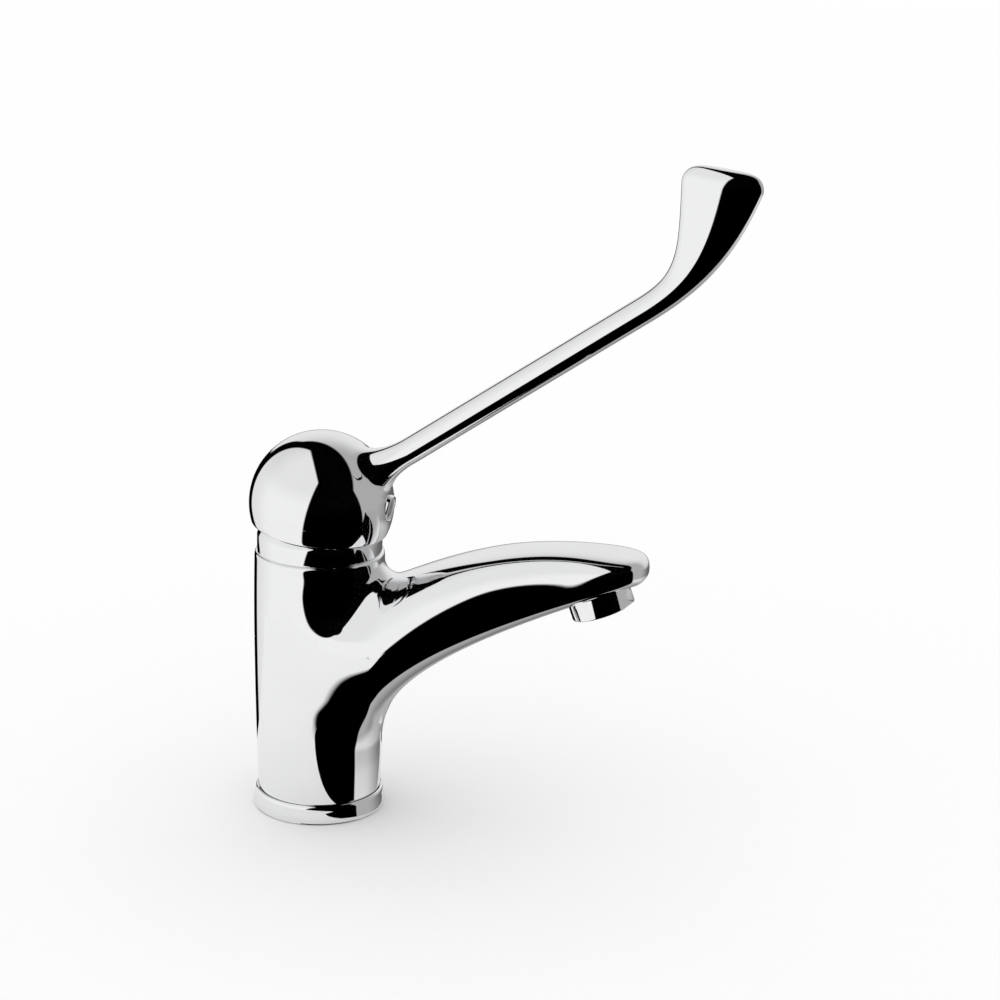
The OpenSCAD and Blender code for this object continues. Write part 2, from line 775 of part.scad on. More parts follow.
module cartridge_nut() {
    color("goldenrod")
    difference() {
        union() {
            translate([0, 0, shoulder_z]) cylinder(d = nut_d - 2 * fit_gap, h = nut_thread_h);
            translate([0, 0, shoulder_z + nut_thread_h])
                cylinder(d = nut_flats / cos(30), h = nut_hex_h, $fn = 6);
        }
        translate([0, 0, shoulder_z - cut])
            cylinder(d = neck_d + 2 * fit_gap, h = nut_thread_h + nut_hex_h + 2 * cut);
        // Wider mouth round the hot stop ring
        translate([0, 0, neck_top_z])
            cylinder(r = stop_ring_r + 3 * fit_gap, h = nut_thread_h + nut_hex_h);
    }
}

// Collar

// The collar's wall stands on the body, and its crown is round about the pivot
module collar_cap() {
    foot_r = collar_d / 2;
    low = rim_front[1];
    high = body_h + collar_h - pivot_z;
    in_r = collar_crown_r - collar_wall;
    crown_steps = 8;
    outside = [
        for (k = [0 : crown_steps])
            let (h = low + (high - low) * k / crown_steps)
            [sqrt(collar_crown_r * collar_crown_r - h * h), pivot_z + h]
    ];
    inside = [
        for (k = [crown_steps : -1 : 0])
            let (h = low + (high - collar_wall - low) * k / crown_steps)
            [sqrt(in_r * in_r - h * h), pivot_z + h]
    ];
    lip = [[collar_hole_d / 2, pivot_z + high], [collar_hole_d / 2, pivot_z + high - collar_wall]];
    spigot_in_r = collar_spigot_r - collar_wall;
    groove_z = body_h - collar_spigot_h / 2 - collar_seal_t / 2;
    color("silver")
    difference() {
        union() {
            rotate_extrude()
            polygon(concat(
                [[foot_r, body_h]], outside, lip, inside,
                [[foot_r - collar_wall, body_h + collar_wall], [spigot_in_r, body_h + collar_wall]],
                [[spigot_in_r, body_h]]
            ));
            tube(collar_spigot_r, spigot_in_r, body_h - collar_spigot_h, collar_spigot_h);
        }
        tube(2 * collar_spigot_r, collar_spigot_r - collar_seal_t / 2, groove_z, collar_seal_t);
    }
}

module collar_seal() {
    cord = collar_seal_t / 2;
    color("black") cord_ring(collar_spigot_r - cord / 2, cord, body_h - collar_spigot_h / 2);
}

// Lever

// A ring square to the lever's run, of a given thickness, at a point of the XZ plane
function lever_ring(at, angle, half_t, half_w, power) =
    let (up = half_t * [-sin(angle), cos(angle)])
    oval(at + up, at - up, half_w, power, lever_sides);

module lever_arm() {
    neck_r = lever_neck_d / 2;
    arm_r = arm_d / 2;
    along = [cos(arm_angle), sin(arm_angle)];
    up = [-sin(arm_angle), cos(arm_angle)];
    start = [bend_x, dome_z + neck_rise];
    bend_end = start + bend_r * [sin(arm_angle), 1 - cos(arm_angle)];
    arm_end = bend_end + arm_l * along;
    bend_steps = 5;
    neck = [
        lever_ring([boss_d / 3, start[1]], 0, neck_r, neck_r, 2),
        for (k = [0 : bend_steps])
            let (a = arm_angle * k / bend_steps, r = neck_r + (arm_r - neck_r) * k / bend_steps)
            lever_ring(start + bend_r * [sin(a), 1 - cos(a)], a, r, r, 2)
    ];
    // The paddle's two edges, as curves of four points in the XZ plane
    back_pull = 18;
    back_end_pull = [0, 28];
    front_pull = 22;
    front_end_pull = [9, 24];
    // Fullness of the paddle's sections: a little sharper than an ellipse towards the end
    end_power = 1.8;
    back_corner = arm_end + [paddle_run, paddle_h];
    front_corner = back_corner + [paddle_w, -paddle_fall];
    back = [
        arm_end + arm_r * up,
        arm_end + arm_r * up + back_pull * along,
        back_corner - back_end_pull,
        back_corner
    ];
    front = [
        arm_end - arm_r * up,
        arm_end - arm_r * up + front_pull * along,
        front_corner - front_end_pull,
        front_corner
    ];
    blade_steps = 10;
    blade = [
        for (k = [0 : blade_steps])
            let (t = k / blade_steps)
            oval(
                bezier(back, t), bezier(front, t),
                arm_r + (paddle_t / 2 - arm_r) * t, 2 + (end_power - 2) * t, lever_sides
            )
    ];
    // The rounded end, drawn in by steps along the paddle's own axis, more in thickness than in width
    middle = (back_corner + front_corner) / 2;
    half = (front_corner - back_corner) / 2;
    lean = [0.17, 0.98];
    width_ease = 0.4;
    thickness_ease = 0.6;
    end = [
        for (a = [20, 40, 58, 72, 82])
            let (at = middle + lean * paddle_end * sin(a), wide = half * pow(cos(a), width_ease))
            oval(at - wide, at + wide, paddle_t / 2 * pow(cos(a), thickness_ease), end_power, lever_sides)
    ];
    loft(concat(neck, blade, end));
}

module lever_bosses() {
    intersection() {
        union() {
            at_stem() translate([0, 0, boss_start]) cylinder(d = boss_d, h = dome_d);
            at_screw() cylinder(d = screw_boss_d, h = dome_d);
        }
        at_dome() sphere(r = dome_r - dome_wall / 2, $fn = 96);
    }
}

// A hollow ball, cut off at the rim and bevelled there
module dome() {
    bevel_r = rim_out_r + 2 * rim_bevel;
    at_dome()
    difference() {
        sphere(r = dome_r, $fn = 96);
        sphere(r = dome_in_r, $fn = 96);
        translate([0, 0, -rim_drop - dome_d]) cylinder(r = dome_d, h = dome_d);
        translate([0, 0, -rim_drop])
        rotate_extrude()
        polygon([
            [rim_out_r - rim_bevel, 0],
            [bevel_r, -cut],
            [bevel_r, 4 * rim_bevel]
        ]);
    }
}

module lever_handle() {
    plug_r = plug_d / 2;
    plug_seat = screw_to_dome() + plug_proud - plug_l;
    color("silver")
    difference() {
        union() {
            dome();
            lever_arm();
            lever_bosses();
        }
        // Square socket for the stem, thread for the grub screw and seat for the index plug
        at_stem()
        translate([-stem_w / 2 - fit_gap, -stem_w / 2 - fit_gap, 0])
        cube([stem_w + 2 * fit_gap, stem_w + 2 * fit_gap, stem_up + fit_gap]);
        at_screw() {
            cylinder(d = screw_d + 2 * fit_gap, h = plug_seat + cut);
            translate([0, 0, plug_seat]) cylinder(r = plug_r + fit_gap, h = dome_d);
        }
    }
}

module grub_screw() {
    color("gray")
    at_screw()
    translate([0, 0, stem_w / 2])
    difference() {
        cylinder(d = screw_d, h = screw_l);
        translate([0, 0, screw_l / 2]) cylinder(d = screw_key / cos(30), h = screw_l, $fn = 6);
    }
}

module index_plug() {
    plug_r = plug_d / 2;
    seat = screw_to_dome() + plug_proud - plug_l;
    face = [
        for (a = [0 : 15 : 90])
            [plug_r - plug_round * (1 - cos(a)), plug_l - plug_round * (1 - sin(a))]
    ];
    color("silver")
    at_screw()
    translate([0, 0, seat])
    rotate_extrude() polygon(concat([[0, 0], [plug_r, 0]], face, [[0, plug_l]]));
}

foot_ring();
deck_seal();
body_casting();
aerator_washer();
aerator_housing();
aerator_insert();
aerator_strainer();
cartridge_base();
port_seals();
fixed_disc();
moving_disc();
disc_carrier();
rotor();
rotor_seal();
pivot_pin();
spindle();
cartridge_housing();
stop_ring();
cartridge_nut();
collar_seal();
collar_cap();
lever_handle();
grub_screw();
index_plug();
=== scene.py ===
from math import atan2, cos, pi, radians, sin, sqrt

import bmesh
import bpy
from mathutils import Matrix, Vector


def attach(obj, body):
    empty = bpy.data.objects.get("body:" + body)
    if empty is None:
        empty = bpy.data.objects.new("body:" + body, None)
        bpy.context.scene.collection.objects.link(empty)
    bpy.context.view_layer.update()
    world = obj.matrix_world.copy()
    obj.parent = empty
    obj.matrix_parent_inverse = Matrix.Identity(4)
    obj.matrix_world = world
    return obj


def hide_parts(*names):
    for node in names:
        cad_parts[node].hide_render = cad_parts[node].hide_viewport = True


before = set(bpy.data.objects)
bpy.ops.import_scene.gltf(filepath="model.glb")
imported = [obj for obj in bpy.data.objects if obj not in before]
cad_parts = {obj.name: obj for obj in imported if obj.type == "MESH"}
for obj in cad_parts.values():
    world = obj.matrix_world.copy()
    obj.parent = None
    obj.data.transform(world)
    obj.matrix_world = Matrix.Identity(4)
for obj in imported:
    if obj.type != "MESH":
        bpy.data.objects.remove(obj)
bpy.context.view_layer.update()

# Foot ring
# The trim ring round the foot hides the joint between the tap and the deck. It is turned from brass,
# polished and chrome plated, and the body stands in it.


class Shade:
    """A shader socket that can be used in sums."""

    def __init__(self, tree, socket=None):
        self.tree = tree
        self.socket = socket

    def make(self, kind, settings=None, sockets=None, out=0):
        """One output of a new node, whose settings are set before the values and links of its sockets."""
        node = self.tree.nodes.new("ShaderNode" + kind)
        for name, value in (settings or {}).items():
            setattr(node, name, value)
        for key, value in (sockets or {}).items():
            if isinstance(value, Shade):
                self.tree.links.new(value.socket, node.inputs[key])
            else:
                node.inputs[key].default_value = value
        return Shade(self.tree, node.outputs[out])

    def math(self, operation, first, second):
        return self.make("Math", {"operation": operation}, {0: first, 1: second})

    def __add__(self, other):
        return self.math("ADD", self, other)

    def __radd__(self, other):
        return self.math("ADD", other, self)

    def __sub__(self, other):
        return self.math("SUBTRACT", self, other)

    def __rsub__(self, other):
        return self.math("SUBTRACT", other, self)

    def __mul__(self, other):
        return self.math("MULTIPLY", self, other)

    def __rmul__(self, other):
        return self.math("MULTIPLY", other, self)


def new_finish(name):
    """An empty material, its node tree as a Shade, and its shader."""
    material = bpy.data.materials.new(name)
    material.use_nodes = True
    shader = material.node_tree.nodes["Principled BSDF"]
    return material, Shade(material.node_tree), shader


def connect(shade, shader, socket):
    """Links a value or a colour to one socket of a shader."""
    shade.tree.links.new(shade.socket, shader.inputs[socket])


def two_tone(tree, factor, dark, light):
    """A colour between two others."""
    return tree.make(
        "Mix", {"data_type": "RGBA"}, {0: factor, 6: (*dark, 1.0), 7: (*light, 1.0)}, out=2
    )


def polished_metal(name, dark, light, roughness, smudge):
    """Bright plated metal: faint clouds in the plate, wiping marks and very fine polishing lines."""
    material, tree, shader = new_finish(name)
    place = tree.make("TexCoord", out="Object")
    clouds = tree.make("TexNoise", sockets={"Vector": place, "Scale": 45.0, "Detail": 3.0})
    wiped = tree.make("TexNoise", sockets={"Vector": place, "Scale": 160.0, "Detail": 6.0, "Roughness": 0.7})
    lines = tree.make("TexNoise", sockets={"Vector": place, "Scale": 2600.0, "Detail": 2.0})
    connect(two_tone(tree, clouds, dark, light), shader, "Base Color")
    connect(roughness + smudge * wiped * clouds, shader, "Roughness")
    bump = tree.make("Bump", sockets={"Strength": 0.012, "Distance": 0.00004, "Height": lines})
    connect(bump, shader, "Normal")
    shader.inputs["Metallic"].default_value = 1.0
    return material


chrome = polished_metal(
    "bright_chrome", dark=(0.90, 0.905, 0.915), light=(0.95, 0.952, 0.957), roughness=0.022, smudge=0.05
)
mm = 0.001


def quarter(centre, across, up, start, end, steps):
    """Points on a quarter of an oval in a profile, from one angle to another, in degrees."""
    angles = [radians(start + (end - start) * k / steps) for k in range(steps + 1)]
    return [(centre[0] + across * cos(a), centre[1] + up * sin(a)) for a in angles]


def turned(name, profile, sides=128, ring=True):
    """A piece turned about Z: a circle is drawn out along a profile of radius and height, in millimetres."""
    bpy.ops.object.select_all(action="DESELECT")
    first_r, first_z = profile[0]
    bpy.ops.mesh.primitive_circle_add(vertices=sides, radius=first_r * mm, location=(0, 0, first_z * mm))
    piece = bpy.context.object
    piece.name = name
    bpy.ops.object.transform_apply(location=True, rotation=True, scale=True)
    bpy.ops.object.mode_set(mode="EDIT")
    bpy.ops.mesh.select_all(action="SELECT")
    for (r, z), (next_r, next_z) in zip(profile, profile[1:]):
        bpy.ops.mesh.extrude_region_move(TRANSFORM_OT_translate={"value": (0, 0, (next_z - z) * mm)})
        bpy.ops.transform.resize(value=(next_r / r, next_r / r, 1))
    bpy.ops.mesh.select_all(action="DESELECT")
    bpy.ops.mesh.select_mode(type="EDGE")
    bpy.ops.mesh.select_non_manifold()
    if ring:
        bpy.ops.mesh.bridge_edge_loops()
    else:
        bpy.ops.mesh.fill_holes(sides=0)
    bpy.ops.mesh.select_all(action="SELECT")
    bpy.ops.mesh.normals_make_consistent(inside=False)
    bpy.ops.mesh.select_mode(type="VERT")
    bpy.ops.object.mode_set(mode="OBJECT")
    return piece


def dress(piece, material, body, node, smooth_angle=35):
    """Gives a finished piece its material and shading, and its place among the bodies."""
    bpy.ops.object.select_all(action="DESELECT")
    piece.select_set(True)
    bpy.context.view_layer.objects.active = piece
    bpy.ops.object.shade_smooth_by_angle(angle=radians(smooth_angle))
    piece.data.materials.clear()
    piece.data.materials.append(material)
    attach(piece, body)
    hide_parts(node)


# From the seal's groove round the flared face, its edge and the rounded lip to the seat of the body
ring_bore_r, groove_in_r, groove_out_r, groove_h = 21.1, 22.2, 24.8, 2.0
seat_r, seat_z = 24.55, 6.9
ring_profile = (
    [(ring_bore_r, 0.0), (groove_in_r, 0.0), (groove_in_r, groove_h)]
    + [(groove_out_r, groove_h), (groove_out_r, 0.0)]
    + quarter((25.7, 0.6), 0.65, 0.6, -90, 0, 6)
    + [(26.18, 2.2), (26.0, 3.6), (25.86, 4.7)]
    + quarter((24.85, 5.2), 0.95, 2.3, 0, 90, 12)
    + [(24.65, 7.45), (seat_r, 7.3), (seat_r, seat_z), (ring_bore_r, seat_z)]
)
foot_ring = turned("trim_ring", ring_profile)
dress(foot_ring, chrome, "tap_body", "foot_ring")

# Deck seal
# A moulded rubber ring keeps water out of the tap hole. It lies in the groove under the trim ring, and is
# pressed on the deck when the tap is drawn down.


def moulded(name, dark, light, roughness, spread, grain, depth):
    """Rubber, plastic or ceramic: a cloudy colour, an uneven gloss and a fine grain of the mould."""
    material, tree, shader = new_finish(name)
    place = tree.make("TexCoord", out="Object")
    clouds = tree.make("TexNoise", sockets={"Vector": place, "Scale": 180.0, "Detail": 4.0})
    specks = tree.make("TexNoise", sockets={"Vector": place, "Scale": grain, "Detail": 3.0, "Roughness": 0.6})
    connect(two_tone(tree, clouds, dark, light), shader, "Base Color")
    connect(roughness + spread * specks, shader, "Roughness")
    bump = tree.make("Bump", sockets={"Strength": 0.3, "Distance": depth, "Height": specks})
    connect(bump, shader, "Normal")
    return material


def keep(node, material):
    """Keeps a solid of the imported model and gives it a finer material."""
    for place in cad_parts[node].material_slots:
        place.material = material


black_rubber = moulded(
    "black_rubber", dark=(0.018, 0.018, 0.018), light=(0.042, 0.041, 0.040),
    roughness=0.55, spread=0.25, grain=2200.0, depth=0.00004,
)
keep("deck_seal", black_rubber)

# Body
# Column and spout are one brass casting, ground, polished and chrome plated. The column is cut away at
# the front and the spout is drawn out of it ring by ring, so that the two run into each other.

COLUMN_SIDES = 24
SPOUT_SIDES = 42
# A subdivided ring of points draws in to this share of its radius
column_ease = (2 + cos(2 * pi / COLUMN_SIDES)) / 3
spout_ease = (2 + cos(2 * pi / SPOUT_SIDES)) / 3


def column_radius(z):
    """The column's radius at a height: a slight belly between the foot and the rim."""
    belly_z, belly_r, foot_z, foot_r, top_z, top_r = 82.0, 25.7, 7.5, 24.3, 103.9, 25.4
    if z < belly_z:
        return belly_r - (belly_r - foot_r) * ((belly_z - z) / (belly_z - foot_z)) ** 2
    return belly_r - (belly_r - top_r) * ((z - belly_z) / (top_z - belly_z)) ** 2


def bezier(points, t):
    """The place at a share of the way along a curve of four points."""
    a, b, c, d = (Vector(p) for p in points)
    return (1 - t) ** 3 * a + 3 * (1 - t) ** 2 * t * b + 3 * (1 - t) * t * t * c + t ** 3 * d


def power_of(value, power):
    """A power that keeps the sign of its value."""
    return (1 if value >= 0 else -1) * abs(value) ** power


def oval(top, low, half_w, upper_power, lower_power, sides, ease=1.0):
    """Points of a ring between two points of the XZ plane, from its top round by +Y, in metres."""
    middle = (top + low) / 2
    half = (top - low) / 2 / ease
    points = []
    for i in range(sides):
        a = 2 * pi * i / sides
        power = upper_power if cos(a) > 0 else lower_power
        up = half * power_of(cos(a), 2 / power)
        y = half_w / ease * power_of(sin(a), 2 / power)
        points.append(Vector((middle.x + up.x, y, middle.y + up.y)) * mm)
    return points


def pull_ring(piece, before, after):
    """Extrudes the selected ring and lays its points on the places of the next ring."""
    bpy.ops.mesh.extrude_region_move()
    mesh = bmesh.from_edit_mesh(piece.data)
    picked = [v for v in mesh.verts if v.select]
    for start, end in zip(before, after):
        point = min(picked, key=lambda v: (v.co - start).length_squared)
        picked.remove(point)
        point.co = end
    bmesh.update_edit_mesh(piece.data)
    return after


def select_edges(piece, chosen):
    """Selects the edges of the piece in edit mode that the test chooses."""
    bpy.ops.mesh.select_all(action="DESELECT")
    mesh = bmesh.from_edit_mesh(piece.data)
    for edge in mesh.edges:
        if chosen(edge):
            edge.select_set(True)
    bmesh.update_edit_mesh(piece.data)
    return [v for v in mesh.verts if v.select]


hole_low, hole_top, hole_half_turn = 20.0, 103.6, 105
rows = [7.5, 8.0, 12.5, hole_low, 32.0, 44.0, 56.0, 68.0, 80.0, 92.0, hole_top]
rim_rows = [(25.36, 104.85), (24.75, 105.5), (23.5, 105.5), (22.5, 105.5)]
column_rows = [(column_radius(z), z) for z in rows] + rim_rows
bpy.ops.object.select_all(action="DESELECT")
bpy.ops.mesh.primitive_circle_add(
    vertices=COLUMN_SIDES, radius=column_rows[0][0] / column_ease * mm, location=(0, 0, rows[0] * mm)
)
body = bpy.context.object
body.name = "column_and_spout"
bpy.ops.object.transform_apply(location=True, rotation=True, scale=True)
bpy.ops.object.mode_set(mode="EDIT")
bpy.ops.mesh.select_all(action="SELECT")
for (r, z), (next_r, next_z) in zip(column_rows, column_rows[1:]):
    bpy.ops.mesh.extrude_region_move(TRANSFORM_OT_translate={"value": (0, 0, (next_z - z) * mm)})
    bpy.ops.transform.resize(value=(next_r / r, next_r / r, 1))

# The opening at the front of the column, 210 degrees wide
bpy.ops.mesh.select_mode(type="FACE")
bpy.ops.mesh.select_all(action="DESELECT")
cage = bmesh.from_edit_mesh(body.data)
for face in cage.faces:
    at = face.calc_center_median()
    if abs(atan2(at.y, at.x)) < radians(hole_half_turn) and hole_low * mm < at.z < hole_top * mm:
        face.select_set(True)
bmesh.update_edit_mesh(body.data)
bpy.ops.mesh.delete(type="FACE")
bpy.ops.mesh.select_mode(type="EDGE")
over_foot, under_rim = 10, 104.5
opening = select_edges(
    body, lambda e: e.is_boundary and all(over_foot * mm < v.co.z < under_rim * mm for v in e.verts)
)
middle_z = (hole_low + hole_top) / 2 * mm
rolled_r = 0.025


def round_the_opening(point):
    """Order of the opening's points, from its top round by +Y, with the column rolled out flat."""
    return atan2(rolled_r * atan2(point.co.y, point.co.x), point.co.z - middle_z) % (2 * pi - 1e-6)


ring = [v.co.copy() for v in sorted(opening, key=round_the_opening)]

# Rings on the column up to the one where the spout's rounding begins: turn about the axis, and height.
# Between two slanting lines the column's side is drawn out flat, towards the spout's flank.
saddle_line = [
    (0, 102.6), (7, 102.3), (14, 101.4), (22, 99.8), (30, 97.0), (38, 92.4), (46, 86.6), (54, 81.8),
    (63, 79.0), (73, 76.6), (83, 73.0), (89, 67.0), (90, 60.0), (88, 52.5), (83, 46.0), (75, 40.5),
    (65, 36.5), (53.5, 33.8), (41, 31.6), (27.5, 30.0), (14, 29.0), (0, 28.6),
]
flank_y, flat_start, flat_end = 25.4, 54, 92
soft_edge, soft_start = 6, 12
# Turn and height of a point on each slanting line, upper and lower, and its rise for each degree
slanting_lines = [(58, 77, 0.484), (71, 44, -0.95)]


def soft_step(value):
    """A smooth step from 0 to 1."""
    value = min(1.0, max(0.0, value))
    return value * value * (3 - 2 * value)


def side_radius(turn, z):
    """The column's radius, and more where its side is flat."""
    degrees = abs(turn) / radians(1)
    round_r = column_radius(z)
    if degrees >= flat_end:
        return round_r
    upper, lower = (line_z + rise * (degrees - line_turn) for line_turn, line_z, rise in slanting_lines)
    share = (
        soft_step((upper + soft_edge - z) / soft_edge)
        * soft_step((z - lower + 2) / soft_edge)
        * soft_step((degrees - flat_start) / soft_start)
    )
    return round_r + share * max(0.0, flank_y / abs(sin(turn) or 1.0) - round_r)


hole, saddle_ease = ring, 0.9965
for share in (0.35, 0.7, 1.0):
    saddle = []
    ease = column_ease + (saddle_ease - column_ease) * share
    for i, point in enumerate(hole):
        turn, z = saddle_line[min(i, SPOUT_SIDES - i)]
        turn = radians(turn if i <= SPOUT_SIDES / 2 else -turn)
        hole_turn, hole_z = atan2(point.y, point.x), point.z / mm
        turn, z = hole_turn + (turn - hole_turn) * share, hole_z + (z - hole_z) * share
        r = side_radius(turn, z) / ease
        saddle.append(Vector((r * cos(turn), r * sin(turn), z)) * mm)
    ring = pull_ring(body, ring, saddle)

crown_curve = [(26.7, 96.0), (56.7, 110.0), (87.0, 121.1), (126.0, 116.5)]
keel_curve = [(24.3, 28.0), (24.5, 56.2), (63.0, 77.8), (126.0, 105.5)]
shoulder_rise, shoulder_run = 4.6, 5.0
spout_half, root_half, reach, tip_x, taper = 16.0, 25.4, 114.3, 131.0, 1.15


def crown_point(t):
    """The spout's top line, with the hollow rounding beside the column."""
    p = bezier(crown_curve, t)
    near = max(0.0, 1 - (p.x - crown_curve[0][0]) / shoulder_run)
    return p + Vector((0, shoulder_rise * near * near))


def spout_half_w(x):
    """Half the spout's width: the column's at its root, even at the outlet and round at its tip."""
    blend = cos(pi / 2 * min(1.0, x / reach) ** taper) ** 2
    over = max(0.0, x - (tip_x - spout_half))
    return (spout_half + (root_half - spout_half) * blend) * sqrt(max(0.0, 1 - over * over / spout_half ** 2))


# Places of the spout's sections along the top line and along the keel. The sections are round at the root
# and squarer at the outlet.
stations = [
    (0.021, 0.10), (0.05, 0.16), (0.09, 0.21), (0.135, 0.265), (0.19, 0.325), (0.25, 0.385),
    (0.32, 0.45), (0.395, 0.515), (0.475, 0.58), (0.555, 0.65), (0.64, 0.72), (0.725, 0.79),
    (0.81, 0.86), (0.90, 0.93), (0.965, 0.975), (1.0, 1.0),
]
sections = []
for crown_t, keel_t in stations:
    top, low = crown_point(crown_t), bezier(keel_curve, keel_t)
    half_w = spout_half_w((top.x + low.x) / 2)
    upper_power, lower_power = 1.85 + 1.15 * min(1.0, 2 * crown_t), 2.05 + 0.65 * crown_t
    sections.append(oval(top, low, half_w, upper_power, lower_power, SPOUT_SIDES, spout_ease))
# The first two sections are drawn in below the flanks. Two rings lead up to them from the column: they lie
# low in the valley at the top, and stay close to the column at the flanks.
draw_in = {
    7: -0.015, 8: -0.04, 9: -0.025, 11: 0.01, 12: 0.02, 13: 0.035, 14: 0.04, 15: 0.04, 16: 0.035,
    17: 0.03, 18: 0.02, 19: 0.01,
}
for section, part in zip(sections, (1.0, 0.5)):
    for i, point in enumerate(section):
        point.y *= 1 - part * draw_in.get(min(i, SPOUT_SIDES - i), 0.0)
valley = [1.0, 1.0, 1.1, 1.5, 1.8, 2.0, 1.6, 1.1, 0.5]
fullness = {9: 1.1, 10: 1.5, 11: 1.9, 12: 2.1, 13: 2.1, 14: 1.7, 15: 1.2}
leads = []
for share, sink in ((0.3, 1.0), (0.65, 0.5)):
    lead = []
    for i, (a, b) in enumerate(zip(saddle, sections[0])):
        k = min(i, SPOUT_SIDES - i)
        point = a.lerp(b, share)
        point.y = a.y + (b.y - a.y) * share ** fullness.get(k, 1.0)
        point.z -= sink * valley[k] * mm if k < len(valley) else 0.0
        lead.append(point)
    leads.append(lead)
for section in leads + sections:
    ring = pull_ring(body, ring, section)

# The rounded nose
nose_x, nose_z, nose_half_t, nose_round = 126.0, 111.0, 5.5, 5.0
nose_upper, nose_lower = 3.0, 2.7
for angle in (25, 48, 66, 80):
    x, half_t = nose_x + nose_round * sin(radians(angle)), nose_half_t * cos(radians(angle))
    top, low = Vector((x, nose_z + half_t)), Vector((x, nose_z - half_t))
    nose = oval(top, low, spout_half_w(x), nose_upper, nose_lower, SPOUT_SIDES, spout_ease)
    ring = pull_ring(body, ring, nose)
bpy.ops.mesh.edge_face_add()
bpy.ops.mesh.select_all(action="SELECT")
bpy.ops.mesh.normals_make_consistent(inside=False)
bpy.ops.mesh.select_mode(type="VERT")
bpy.ops.object.mode_set(mode="OBJECT")


def apply_modifier(piece, kind, **settings):
    """Puts a modifier on the piece and applies it."""
    bpy.ops.object.select_all(action="DESELECT")
    piece.select_set(True)
    bpy.context.view_layer.objects.active = piece
    modifier = piece.modifiers.new(kind.lower(), kind)
    for name, value in settings.items():
        setattr(modifier, name, value)
    bpy.ops.object.modifier_apply(modifier=modifier.name)


def combine(piece, tool, operation):
    """Cuts a tool out of the piece, or joins it to the piece, and removes the tool."""
    apply_modifier(piece, "BOOLEAN", object=tool, operation=operation, solver="EXACT")
    bpy.data.objects.remove(tool)


apply_modifier(body, "SUBSURF", levels=3, render_levels=3)
bpy.ops.object.mode_set(mode="EDIT")
bpy.ops.mesh.select_mode(type="EDGE")
select_edges(body, lambda e: e.is_boundary)
bpy.ops.mesh.fill_holes(sides=0)
bpy.ops.mesh.select_all(action="SELECT")
bpy.ops.mesh.normals_make_consistent(inside=False)
bpy.ops.mesh.select_mode(type="VERT")
bpy.ops.object.mode_set(mode="OBJECT")

# Spigot in the trim ring, chamber of the cartridge, and the hollow foot with its three threaded holes
spigot = turned("spigot", [(21.0, 2.0), (21.0, 8.6)], ring=False)
combine(body, spigot, "UNION")
chamber = turned(
    "chamber",
    [(17.6, 73.0), (17.6, 97.0), (20.0, 97.0), (20.0, 102.5), (21.4, 102.5), (21.4, 107.0)],
    ring=False,
)
combine(body, chamber, "DIFFERENCE")
foot_r, foot_top = 18.5, 30.0
hollow_foot = turned("hollow_foot", [(foot_r, 0.0), (foot_r, foot_top)], ring=False)
combine(body, hollow_foot, "DIFFERENCE")
for x, y, r, depth in ((-4.0, 7.5, 4.5, 16.0), (-4.0, -7.5, 4.5, 16.0), (9.5, 0.0, 3.4, 14.0)):
    drill = turned("drill", [(r, foot_top - 1.0), (r, foot_top + depth)], sides=48, ring=False)
    drill.data.transform(Matrix.Translation((x * mm, y * mm, 0)))
    combine(body, drill, "DIFFERENCE")

# Seat of the aerator, square to the tilted outlet
outlet_z, outlet_tilt = 93.5, -20.6
outlet = Matrix.Translation((reach * mm, 0, outlet_z * mm)) @ Matrix.Rotation(radians(outlet_tilt), 4, "Y")
seat = turned("seat", [(12.4, -8.0), (12.4, 8.0), (11.1, 8.0), (11.1, 15.6)], sides=96, ring=False)
seat.data.transform(outlet)
combine(body, seat, "DIFFERENCE")
dress(body, chrome, "tap_body", "body_casting", smooth_angle=40)

# Aerator housing
# The outlet's plated brass housing screws into the spout. Two flats milled on its lower part take the
# spanner, and a lip inside holds the jet insert.

lip_r, bore_r, housing_r, thread_r = 9.0, 9.8, 12.3, 11.0
lip_h, skirt_h, housing_h = 1.4, 8.0, 14.0
housing = turned(
    "outlet_housing",
    [(lip_r, lip_h), (lip_r, 0.3), (lip_r + 0.3, 0.0)]
    + quarter((housing_r - 0.5, 0.5), 0.5, 0.5, -90, 0, 5)
    + [(housing_r, 7.7), (housing_r - 0.3, skirt_h), (thread_r, skirt_h), (thread_r, housing_h)]
    + [(bore_r, housing_h), (bore_r, lip_h)],
)
flat_r, flat_turn = 11.2, 16
cutter_t, cutter_w, cutter_h, cutter_z = 12, 30, 6, 2
for side in (0, 180):
    bpy.ops.mesh.primitive_cube_add(size=1)
    flat = bpy.context.object
    flat.data.transform(
        Matrix.Rotation(radians(side - flat_turn), 4, "Z")
        @ Matrix.Translation(((flat_r + cutter_t / 2) * mm, 0, cutter_z * mm))
        @ Matrix.Diagonal((cutter_t * mm, cutter_w * mm, cutter_h * mm, 1))
    )
    combine(housing, flat, "DIFFERENCE")
housing.data.transform(outlet)
dress(housing, chrome, "tap_body", "aerator_housing")

# Inside of the aerator
# A moulded jet insert mixes air into the water under a punched steel strainer. A rubber washer seals the
# housing in the spout.

white_plastic = moulded(
    "white_plastic", dark=(0.82, 0.82, 0.81), light=(0.90, 0.90, 0.89),
    roughness=0.32, spread=0.2, grain=1500.0, depth=0.00002,
)
keep("aerator_insert", white_plastic)
keep("aerator_washer", black_rubber)


